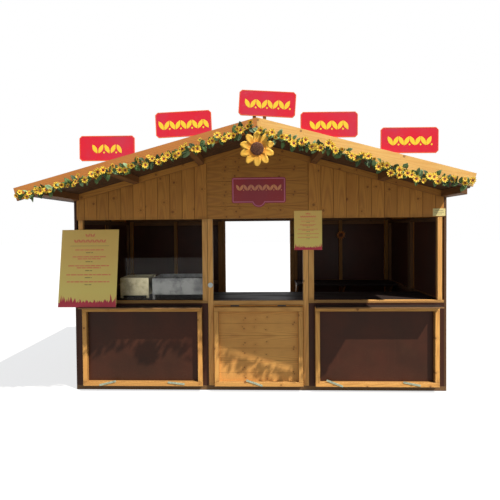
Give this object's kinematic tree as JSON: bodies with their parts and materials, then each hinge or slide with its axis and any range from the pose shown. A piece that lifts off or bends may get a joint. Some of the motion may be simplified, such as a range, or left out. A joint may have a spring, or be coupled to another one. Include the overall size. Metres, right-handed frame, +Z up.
{
  "type": "barbecue hut",
  "caption": "Small timber market hut with a gable roof and canopy, three serving openings with folded-down hatches, counters, cooking units and flower garlands.",
  "frame": {"origin": "on the ground at the centre of the footprint, on the underside of the middle floor bearer", "axes": "+X to the right along the serving front, +Y into the depth, +Z up"},
  "size_m": [4.221, 2.854, 2.9779],
  "materials": {
    "pine_shaded": "satin",
    "pine_sunlit": "satin",
    "pine_frame": "satin",
    "rough_timber": "matte",
    "film_faced_plywood": "semi-gloss",
    "dark_worktop": "gloss",
    "roofing_felt": "matte",
    "sign_red": "satin",
    "name_sign_maroon": "satin",
    "cream_board": "satin",
    "notice_cream": "satin",
    "galvanised_steel": "satin",
    "stainless_steel": "brushed",
    "clear_glass": "clear",
    "petal_yellow": "matte",
    "seed_brown": "matte",
    "garland_green": "matte",
    "opener_white": "satin"
  },
  "bodies": {
    "root": {"floor_bearers": "rough_timber", "floor_deck": "rough_timber", "front_lower_walls": "film_faced_plywood", "front_centre_boards": "pine_frame", "front_studs": "rough_timber", "serving_sills": "pine_sunlit", "front_posts": "pine_sunlit", "front_gable_left": "pine_shaded", "front_gable_centre": "pine_shaded", "front_gable_right": "pine_shaded", "header_rails": "rough_timber", "gable_studs": "rough_timber", "rake_blocking": "pine_shaded", "hatch_left_frame": "pine_sunlit", "hatch_centre_frame": "pine_sunlit", "hatch_right_frame": "pine_sunlit", "hatch_side_panels": "film_faced_plywood", "hatch_centre_panel": "pine_sunlit", "serving_ledges": "film_faced_plywood", "hatch_hinges": "galvanised_steel", "hatch_latches": "galvanised_steel", "left_wall_boards": "film_faced_plywood", "right_wall_boards": "film_faced_plywood", "side_wall_studs": "rough_timber", "side_wall_rails": "rough_timber", "rear_wall_left": "film_faced_plywood", "rear_wall_right": "film_faced_plywood", "rear_gable_centre": "pine_frame", "rear_posts": "pine_frame", "worktops": "dark_worktop", "back_counter": "dark_worktop", "counter_brackets": "rough_timber", "ridge_purlin": "rough_timber", "roof_purlins": "rough_timber", "eaves_plates": "rough_timber", "roof_deck_left": "rough_timber", "roof_deck_right": "rough_timber", "roof_felt": "roofing_felt", "ridge_capping": "roofing_felt", "front_bargeboard_left": "pine_sunlit", "front_bargeboard_right": "pine_sunlit", "rear_bargeboard_left": "pine_sunlit", "rear_bargeboard_right": "pine_sunlit", "roof_signs": "sign_red", "sign_stays": "rough_timber", "name_sign": "name_sign_maroon", "notice_plate": "notice_cream", "poster_large": "cream_board", "poster_small": "cream_board", "sunflower_petals": "petal_yellow", "sunflower_disc": "seed_brown", "sunflower_hanger": "galvanised_steel", "garland_left": "garland_green", "garland_right": "garland_green", "wall_flower": "petal_yellow", "fryer": "stainless_steel", "griddle": "stainless_steel", "glass_screen": "clear_glass", "bottle_opener": "opener_white"}
  },
  "joints": []
}
